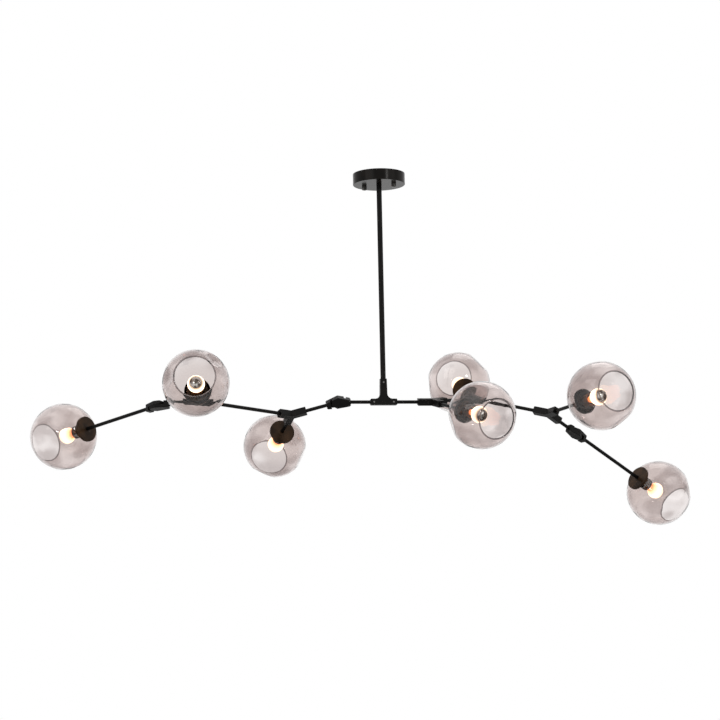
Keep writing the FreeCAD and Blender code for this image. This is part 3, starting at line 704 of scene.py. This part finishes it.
@dataclass
class Globe:
    """Blown globe with dents, a hole at the cup and a wide mouth with a round lip."""

    axes: Axes
    dents: Sequence[Dent]
    radius: float = 75 * MM
    wall: float = 2 * MM
    mouth: float = 44 * MM
    hole: float = 20 * MM
    seat: float = 7.2 * MM
    seat_radius: float = 27 * MM
    bead: float = 0.35
    bead_reach: float = 4 * MM
    rows: int = 110
    columns: int = 160
    lip_steps: int = 7

    @property
    def centre(self) -> float:
        """How far along the axis the globe's centre lies when it rests in its cup."""
        return self.seat + math.sqrt(self.radius ** 2 - self.seat_radius ** 2)

    def _middle(self, polar: np.ndarray, around: np.ndarray) -> np.ndarray:
        """Points midway through the wall.

        The radius is the globe's, less half a wall, less for each dent its depth times
        (1 - s * s) ^ softness, where s is the angle from the dent's centre over its width.

        Args:
            polar: the angle from the lamp's axis at each point, in radians.
            around: the angle round it.

        Returns:
            The points.
        """
        across = np.sin(polar)
        ray = np.stack([across * np.cos(around), across * np.sin(around), np.cos(polar)], -1)
        radius = np.full(polar.shape, self.radius - self.wall / 2)
        for dent in self.dents:
            tilt, turn = math.radians(dent.polar), math.radians(dent.around)
            aim = np.array([math.sin(tilt) * math.cos(turn), math.sin(tilt) * math.sin(turn),
                            math.cos(tilt)])
            share = np.degrees(np.arccos(np.clip(ray @ aim, -1, 1))) / dent.width
            radius -= dent.depth * np.clip(1 - share ** 2, 0, 1) ** dent.softness
        ray *= radius[..., None]
        return self.axes.place(np.hypot(ray[..., 0], ray[..., 1]), around,
                               self.centre + ray[..., 2])

    def build(self, name: str) -> bpy.types.Object:
        """Builds the glass.

        The wall's middle is a grid of polar angle by angle round the axis. The outer
        and inner skins lie half a wall to each side along its normal, the cross product
        of its two slopes, and a half circle of the same thickness closes each end. The
        wall swells towards the mouth by the bead's share, fading over its reach.

        Args:
            name: the piece's name.

        Returns:
            The new object.
        """
        start = math.asin(self.mouth / self.radius)
        end = math.pi - math.asin(self.hole / self.radius)
        polar, around = np.meshgrid(np.linspace(start, end, self.rows),
                                    np.linspace(0, 2 * math.pi, self.columns, endpoint=False),
                                    indexing="ij")
        middle = self._middle(polar, around)
        down = np.gradient(middle, axis=0)
        wrapped = np.concatenate([middle[:, -1:], middle, middle[:, :1]], axis=1)
        sideways = np.gradient(wrapped, axis=1)[:, 1:-1]
        down /= np.linalg.norm(down, axis=-1, keepdims=True)
        normal = np.cross(down, sideways)
        normal /= np.linalg.norm(normal, axis=-1, keepdims=True)
        centre = self.axes.origin + self.axes.way * self.centre
        if ((middle - centre) * normal).sum() < 0:
            normal = -normal
        half = self.wall / 2
        swell = self.wall * self.bead * np.exp(-(polar - start) * self.radius / self.bead_reach)
        outer = middle + half * normal
        inner = middle - (half + swell)[..., None] * normal

        turn = np.linspace(0, math.pi, self.lip_steps + 2)[1:-1, None, None]
        lips = []
        for row, side in ((0, -1), (-1, 1)):
            heart, reach = (outer[row] + inner[row]) / 2, (outer[row] - inner[row]) / 2
            size = np.linalg.norm(reach, axis=-1, keepdims=True)
            lips.append(heart + side * (np.cos(turn) * reach + np.sin(turn) * size * down[row]))
        grid = np.concatenate([outer, lips[1], inner[::-1], lips[0]])
        return woven(name, grid, sharp=180.0)


@dataclass
class Cup:
    """Spun cup behind the globe: flat back with a low boss, short side, rolled rim."""

    axes: Axes
    radius: float = 28.5 * MM
    depth: float = 7 * MM
    wall: float = 1.5 * MM
    hole: float = 4.05 * MM
    boss: float = 8 * MM
    boss_rise: float = 0.5 * MM
    shoulder: Tuple[float, float] = (1.0 * MM, 0.3 * MM)
    edge: float = 0.7 * MM
    columns: int = 128

    def build(self, name: str) -> bpy.types.Object:
        """Turns the cup's outline: back with boss, side, rim, and back along the inside.

        The back meets the side in a shoulder of the named width and height.

        Args:
            name: the piece's name.

        Returns:
            The new object.
        """
        inner = self.radius - self.wall
        rise = self.boss_rise
        outline = [(self.hole, 0), (self.boss, 0), (self.boss + rise, rise),
                   (self.radius - self.shoulder[0], rise),
                   (self.radius, rise + self.shoulder[1]),
                   (self.radius, self.depth), (inner, self.depth), (inner, self.wall + rise),
                   (self.hole, self.wall + rise)]
        return self.axes.turned(name, soften(outline, self.edge), self.columns)


@dataclass
class Holder:
    """Bulb holder: a tube with a closed back, three grooves and rounded edges."""

    axes: Axes
    radius: float = 14 * MM
    bore: float = 11.5 * MM
    back: float = 2.0 * MM
    floor: float = 12 * MM
    rim: float = 38 * MM
    hole: float = 4.05 * MM
    groove: float = 0.6 * MM
    groove_shape: Tuple[Tuple[float, float], ...] = ((-1, 0), (-0.6, 1), (0.6, 1), (1, 0))
    grooves: Tuple[float, ...] = (22 * MM, 25 * MM, 33 * MM)
    edge: float = 0.5 * MM

    def build(self, name: str) -> bpy.types.Object:
        """Turns the holder's outline, with a shallow square groove at each named place.

        A groove's shape is given along the holder and into it, in groove depths.

        Args:
            name: the piece's name.

        Returns:
            The new object.
        """
        outside = [(self.radius, self.back)]
        for spot in self.grooves:
            for along, depth in self.groove_shape:
                outside.append((self.radius - depth * self.groove, spot + along * self.groove))
        outline = [(self.hole, self.back), *outside, (self.radius, self.rim),
                   (self.bore, self.rim), (self.bore, self.floor), (self.hole, self.floor)]
        return self.axes.turned(name, soften(outline, self.edge, 4))


@dataclass
class ClampRing:
    """Knurled ring that presses the globe against the cup."""

    axes: Axes
    inner: float = 14.1 * MM
    outer: float = 22.8 * MM
    start: float = 8.3 * MM
    thick: float = 4 * MM
    edge: float = 0.8 * MM
    teeth: int = 40
    tooth: float = 0.35 * MM
    columns: int = 240

    def build(self, name: str) -> bpy.types.Object:
        """Turns a rectangle whose outer half moves in by a cosine of the teeth.

        Args:
            name: the piece's name.

        Returns:
            The new object.
        """
        outline = soften([(self.inner, self.start), (self.outer, self.start),
                          (self.outer, self.start + self.thick),
                          (self.inner, self.start + self.thick)], self.edge)
        angle = np.linspace(0, 2 * math.pi, self.columns, endpoint=False)[None, :]
        outside = outline[:, :1] > (self.inner + self.outer) / 2
        radius = outline[:, :1] - self.tooth * (1 + np.cos(self.teeth * angle)) / 2 * outside
        along = np.broadcast_to(outline[:, 1:], radius.shape)
        grid = self.axes.place(radius, np.broadcast_to(angle, radius.shape), along)
        return woven(name, grid)


@dataclass
class Bulb:
    """Round bulb: a ball on a neck that narrows to a screw cap."""

    axes: Axes
    radius: float = 18.3 * MM
    start: float = 12.4 * MM
    length: float = 71.5 * MM
    tuck: float = 1 * MM
    tuck_radius: float = 6.65 * MM
    cap_length: float = 20 * MM
    cap_radius: float = 7 * MM
    contact_radius: float = 2.45 * MM
    contact_height: float = 0.2 * MM
    contact_depth: float = 3 * MM
    neck_radius: float = 10.8 * MM
    pitch: float = 2.8 * MM
    thread: float = 0.5 * MM
    ball_rows: int = 72
    neck_rows: int = 24
    thread_rows: int = 60
    columns: int = 72
    sharp: float = 50.0

    def build_glass(self, name: str) -> bpy.types.Object:
        """Builds the glass by turning its outline.

        The outline is a circle for the ball, from the crown down to where it meets the
        neck's radius, and from there a cosine ease down to the foot tucked in the cap.

        Args:
            name: the piece's name.

        Returns:
            The new object.
        """
        middle = self.start + self.length - self.radius
        foot = self.start + self.cap_length - self.tuck
        meet = math.pi - math.asin(self.neck_radius / self.radius)
        angle = np.linspace(meet, 0, self.ball_rows)
        ball = np.stack([self.radius * np.sin(angle), middle + self.radius * np.cos(angle)], -1)
        share = np.linspace(0, 1, self.neck_rows)[:-1]
        ease = 1 - np.cos(share * math.pi / 2)
        low, high = np.array([self.tuck_radius, foot]), ball[0]
        neck = low + (high - low) * np.stack([ease, share], -1)
        outline = np.concatenate([[(0.0, foot)], neck, ball])
        outline[-1, 0] = 0.0
        return self.axes.turned(name, outline, self.columns, self.sharp)

    def build_cap(self, name: str) -> bpy.types.Object:
        """Builds the screw cap: a tube whose wall waves as a helix of the thread's pitch.

        Below the thread it narrows to the contact. The thread takes from the radius half
        its depth times 1 + cos(2 pi * along / pitch - angle).

        Args:
            name: the piece's name.

        Returns:
            The new object.
        """
        foot, top = self.start, self.start + self.cap_length
        tip = foot + self.contact_depth
        wall = np.full(self.thread_rows, self.cap_radius)
        along = np.concatenate([[foot, foot + self.contact_height],
                                np.linspace(tip, top, self.thread_rows), [top]])[:, None]
        base = np.concatenate([[0.0, self.contact_radius], wall, [0.0]])[:, None]
        angle = np.linspace(0, 2 * math.pi, self.columns, endpoint=False)[None, :]
        wave = 1 + np.cos(2 * math.pi * along / self.pitch - angle)
        threaded = (along > tip) & (base > self.contact_radius)
        radius = base - self.thread / 2 * wave * threaded
        grid = self.axes.place(radius, np.broadcast_to(angle, radius.shape),
                               np.broadcast_to(along, radius.shape))
        return woven(name, grid, self.sharp)


@dataclass
class LampHead:
    """A lamp head: globe, cup, holder, clamping ring and bulb."""

    lamp: int
    dents: Sequence[Dent]
    radius: float
    finishes: Finishes
    axes: Axes = field(init=False)

    def __post_init__(self) -> None:
        """Reads where the lamp is."""
        self.axes = Axes.of_lamp(self.lamp)

    def _fit(self, piece: bpy.types.Object, node: str, slot: Slot,
             own: Optional[OwnFinish] = None) -> None:
        """Lets a piece stand for one of the lamp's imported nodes.

        Args:
            piece: the finished piece.
            node: the node's name without the lamp's number.
            slot: its slot in the record.
            own: its finish, if not the slot's.
        """
        stand_for(f"lamp_{self.lamp}_{node}", piece, self.finishes[own or slot])

    def build(self) -> None:
        """Builds the lamp's pieces."""
        lamp, axes = self.lamp, self.axes
        globe = Globe(axes, self.dents, self.radius)
        self._fit(globe.build(f"globe_glass_{lamp}"), "globe", Slot.SMOKE)
        self._fit(Cup(axes).build(f"lamp_cup_{lamp}"), "socket", Slot.CUP)
        self._fit(Holder(axes).build(f"bulb_holder_{lamp}"), "socket", Slot.CUP,
                  OwnFinish.HOLDER)
        self._fit(ClampRing(axes).build(f"glass_ring_{lamp}"), "socket", Slot.CUP)
        bulb = Bulb(axes)
        self._fit(bulb.build_glass(f"bulb_ball_{lamp}"), "bulb", Slot.BULB)
        self._fit(bulb.build_cap(f"bulb_cap_{lamp}"), "bulb", Slot.NICKEL)


# Each globe's dents: degrees from the lamp's axis and round it, then the width if unusual.
DENTS = {
    1: (Dent(113, 189), Dent(130, 300), Dent(72, 70)),
    2: (Dent(56, 86, width=18), Dent(56, 314, width=18), Dent(58, 202, width=20), Dent(105, 20)),
    3: (Dent(133, 285), Dent(58, 209, width=20), Dent(84, 20), Dent(96, 120)),
    4: (Dent(79, 262), Dent(92, 42), Dent(106, 195)),
    5: (Dent(70, 43), Dent(64, 142), Dent(112, 114), Dent(88, 262)),
    6: (Dent(64, 98), Dent(83, 219), Dent(124, 13)),
    7: (Dent(104, 92), Dent(108, 160), Dent(54, 53), Dent(84, 270)),
}
# Blown by hand, the globes differ a little: these are the radii.
RADII = {1: 75 * MM, 2: 71 * MM, 3: 72.5 * MM, 4: 75 * MM, 5: 75 * MM, 6: 75 * MM, 7: 75 * MM}


# ---------------------------------------------------------------- canopy's nuts
@dataclass
class CapNut:
    """Blind turned nut under the canopy: bevelled barrel, slightly domed end."""

    axes: Axes
    radius: float = 5.5 * MM
    height: float = 9.2 * MM
    bore: float = 2.1 * MM
    bore_depth: float = 7.5 * MM
    bevel: float = 0.8 * MM
    dome: float = 0.7 * MM
    steps: int = 6
    columns: int = 48

    def build(self, name: str) -> bpy.types.Object:
        """Turns the outline: up the blind bore, over the face, down the side, the dome.

        The domed end falls off with the square of the distance from the axis.

        Args:
            name: the piece's name.

        Returns:
            The new object.
        """
        edge = self.height - self.dome - self.bevel
        bore = [(0.0, self.bore_depth), (self.bore, self.bore_depth), (self.bore, 0.0)]
        side = [(self.radius - self.bevel / 2, 0.0), (self.radius, self.bevel / 2),
                (self.radius, edge)]
        flat = self.radius - self.bevel
        share = np.linspace(1, 0, self.steps)
        end = [(flat * s, self.height - self.dome * s * s) for s in share]
        return self.axes.turned(name, np.array(bore + side + end), self.columns)


@dataclass
class CanopyNuts:
    """The two nuts that hold the canopy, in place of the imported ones."""

    finishes: Finishes
    node: str = "cap_nuts"

    def build(self) -> None:
        """Builds a nut under the canopy at each packed nut's place."""
        corners = corners_of(self.node)
        for name, side in (("left", corners[:, 0] < 0), ("right", corners[:, 0] > 0)):
            nut = corners[side]
            face = (nut.min(axis=0) + nut.max(axis=0)) / 2
            face[2] = nut[:, 2].max()
            right, front, down = np.diag([1.0, -1.0, -1.0])
            piece = CapNut(Axes(face, right, front, down)).build(f"canopy_nut_{name}")
            stand_for(self.node, piece, self.finishes[Slot.NICKEL])


# ---------------------------------------------------------------- carried pieces
@dataclass
class Carried:
    """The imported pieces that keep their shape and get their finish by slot."""

    finishes: Finishes
    own: Mapping[str, OwnFinish] = field(default_factory=lambda: {"canopy": OwnFinish.CANOPY})

    def dress(self) -> None:
        """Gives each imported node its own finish, if it has one, or that of its slot."""
        for part in frame["record"]["subparts"]:
            node = frame["nodes"][part["node"]]
            finish = self.own.get(part["node"], Slot(part["material_slot"]))
            node.data.materials.clear()
            node.data.materials.append(self.finishes[finish])
            log.info("%s: %s", node.name, finish.value)


# ---------------------------------------------------------------- studio and camera
@dataclass
class Softbox:
    """A square lamp that faces a point."""

    name: str
    place: Point
    width: float
    power: float
    tone: Colour = (1.0, 0.99, 0.97)

    def hang(self, aim: Vector) -> None:
        """Puts the lamp in place.

        Args:
            aim: the point that it faces.
        """
        lamp = bpy.data.lights.new(self.name, "AREA")
        lamp.size = self.width
        lamp.energy = self.power
        lamp.color = self.tone
        holder = bpy.data.objects.new(self.name, lamp)
        holder.location = self.place
        holder.rotation_mode = "QUATERNION"
        holder.rotation_quaternion = (Vector(self.place) - aim).to_track_quat("Z", "Y")
        bpy.context.scene.collection.objects.link(holder)


@dataclass
class Studio:
    """White surroundings, a pale floor under the lamp, and soft light."""

    aim: Point = (-0.04, 0.0, -0.5)
    sky: float = 0.5
    backdrop: float = 1.0
    floor_height: float = -1.75
    floor_radius: float = 2.6
    floor_thick: float = 10 * MM
    floor_tone: Colour = (0.86, 0.86, 0.86)
    floor_fade: Tuple[float, float] = (0.72, 0.97)
    speckle: float = 2 * MM
    rings: int = 24
    spokes: int = 96
    lamps: Tuple[Softbox, ...] = (
        Softbox("key_light", (-2.6, -2.8, 2.0), 3.0, 36.0),
        Softbox("fill_light", (3.2, -2.2, 0.2), 2.4, 14.0),
        Softbox("back_light", (0.8, 1.8, 3.0), 2.2, 16.0),
        Softbox("spark_left", (-1.2, -2.2, -0.1), 0.26, 4.5),
        Softbox("spark_right", (1.4, -2.0, 0.5), 0.26, 4.5),
    )

    def build(self) -> None:
        """Makes the surroundings, the floor and the lamps."""
        self._surround()
        self._lay_floor()
        for lamp in self.lamps:
            lamp.hang(Vector(self.aim))

    def _surround(self) -> None:
        """White where the camera, gloss and glass see it; a soft sky for the light."""
        world = bpy.data.worlds.new("surroundings")
        bpy.context.scene.world = world
        paint = Paint(world)
        seen = paint.add("ShaderNodeLightPath", output="Is Camera Ray")
        for ray in ("Is Glossy Ray", "Is Transmission Ray"):
            seen = seen.larger(paint.add("ShaderNodeLightPath", output=ray))
        sky, backdrop = (
            paint.add("ShaderNodeBackground", None,
                      {"Color": (1.0, 1.0, 1.0, 1.0), "Strength": strength})
            for strength in (self.sky, self.backdrop))
        paint.add_output(Surface=paint.add("ShaderNodeMixShader", None,
                                           {0: seen, 1: sky, 2: backdrop}))

    def _lay_floor(self) -> None:
        """Lays a round floor of rings, with a finish that fades into the white.

        The rings' points lie at the radius times the cosine and sine of their angle. The
        fade goes by the distance from the part's origin, over two shares of the rim's.
        """
        low = self.floor_height
        angle = np.linspace(0, 2 * math.pi, self.spokes, endpoint=False)
        radius = np.linspace(0, self.floor_radius, self.rings)[:, None]
        top = np.stack([radius * np.cos(angle), radius * np.sin(angle),
                        np.full((self.rings, self.spokes), low)], axis=-1)
        under = (top - np.array([0, 0, self.floor_thick]))[::-1]
        floor = woven("floor", np.concatenate([top, under]))
        paint = Paint(bpy.data.materials.new("pale_floor"))
        place = paint.add("ShaderNodeTexCoord", output="Object")
        length = paint.add("ShaderNodeVectorMath", {"operation": "LENGTH"}, {0: place}, "Value")
        rim = math.hypot(self.floor_radius, low)
        speckle = paint.noise(self.speckle, 2.0)
        floor.data.materials.append(paint.finish(
            Base_Color=self.floor_tone,
            Roughness=0.75 + (speckle - 0.5) * 0.1,
            Specular_IOR_Level=0.2,
            Alpha=1 - length.between(*(share * rim for share in self.floor_fade))))


@dataclass
class Viewpoint:
    """The camera: where it stands, how far it looks up, and its lean."""

    place: Point = (-0.0518, -4.5112, -1.0857)
    rise: float = 8.24
    lean: float = 1.14
    lens: float = 100.0
    sensor: float = 36.0
    near: float = 0.1
    far: float = 50.0

    def build(self) -> None:
        """Places the camera and makes it the scene's own."""
        rise, lean = math.radians(self.rise), math.radians(self.lean)
        ahead = Vector((0, math.cos(rise), math.sin(rise)))
        above = Vector((0, -math.sin(rise), math.cos(rise)))
        right = Vector((1, 0, 0))
        across = math.cos(lean) * right - math.sin(lean) * above
        upward = math.sin(lean) * right + math.cos(lean) * above
        lens = bpy.data.cameras.new("viewpoint")
        lens.lens, lens.sensor_width = self.lens, self.sensor
        lens.clip_start, lens.clip_end = self.near, self.far
        camera = bpy.data.objects.new("viewpoint", lens)
        camera.matrix_world = Matrix.Translation(self.place) @ Matrix(
            (across, upward, -ahead)).transposed().to_4x4()
        bpy.context.scene.collection.objects.link(camera)
        bpy.context.scene.camera = camera


# ---------------------------------------------------------------- the whole
def make_finishes() -> Finishes:
    """Makes the materials.

    Returns:
        One for each of the record's slots, and the pieces' own.
    """
    recipes = {
        Slot.ROD: BlackPaint("rod_black", rubbed=(0.011, 0.008, 0.007), edge=0.1 * MM,
                             relief=0.003 * MM),
        Slot.CAST: BlackPaint("cast_black", grain=1.3 * MM, relief=0.03 * MM, roughness=0.38,
                              shine=0.10),
        # The brown of this finish is partly the cup's own brown-black tone and partly painted
        # warm light from the bulb.
        Slot.CUP: BlackPaint("cup_black", deep=(0.020, 0.011, 0.006),
                             pale=(0.060, 0.032, 0.016), roughness=0.30, shine=0.10),
        Slot.SMOKE: SmokeGlass("smoke_glass"),
        Slot.BULB: LitBulb("lit_bulb"),
        Slot.SCREW: Metal("screw_steel", (0.17, 0.165, 0.16), (0.10, 0.098, 0.095), 0.38),
        Slot.ZINC: Metal("zinc_steel", (0.66, 0.65, 0.60), (0.50, 0.49, 0.44), 0.42),
        Slot.NICKEL: Metal("dark_nickel", (0.10, 0.095, 0.09), (0.05, 0.048, 0.045), 0.34),
        Slot.INSULATOR: MattPlastic("insulator"),
        OwnFinish.CANOPY: BlackPaint("canopy_black", deep=(0.004, 0.003, 0.0024),
                                     pale=(0.009, 0.0065, 0.0050), roughness=0.20,
                                     unevenness=0.08, shine=0.09),
        OwnFinish.HOLDER: BlackPaint("holder_brown", deep=(0.045, 0.020, 0.008),
                                     pale=(0.12, 0.055, 0.022), rubbed=(0.16, 0.08, 0.035),
                                     roughness=0.5, shine=0.03),
    }
    return {use: recipe.make() for use, recipe in recipes.items()}


def main() -> None:
    """Builds the studio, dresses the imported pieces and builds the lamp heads."""
    logging.basicConfig(level=logging.INFO, format="%(message)s", stream=sys.stdout)
    bpy.context.scene.view_settings.view_transform = "Standard"
    Studio().build()
    Viewpoint().build()
    finishes = make_finishes()
    Carried(finishes).dress()
    CanopyNuts(finishes).build()
    for lamp in LAMPS:
        LampHead(lamp, DENTS[lamp], RADII[lamp], finishes).build()


if __name__ == "__main__":
    main()
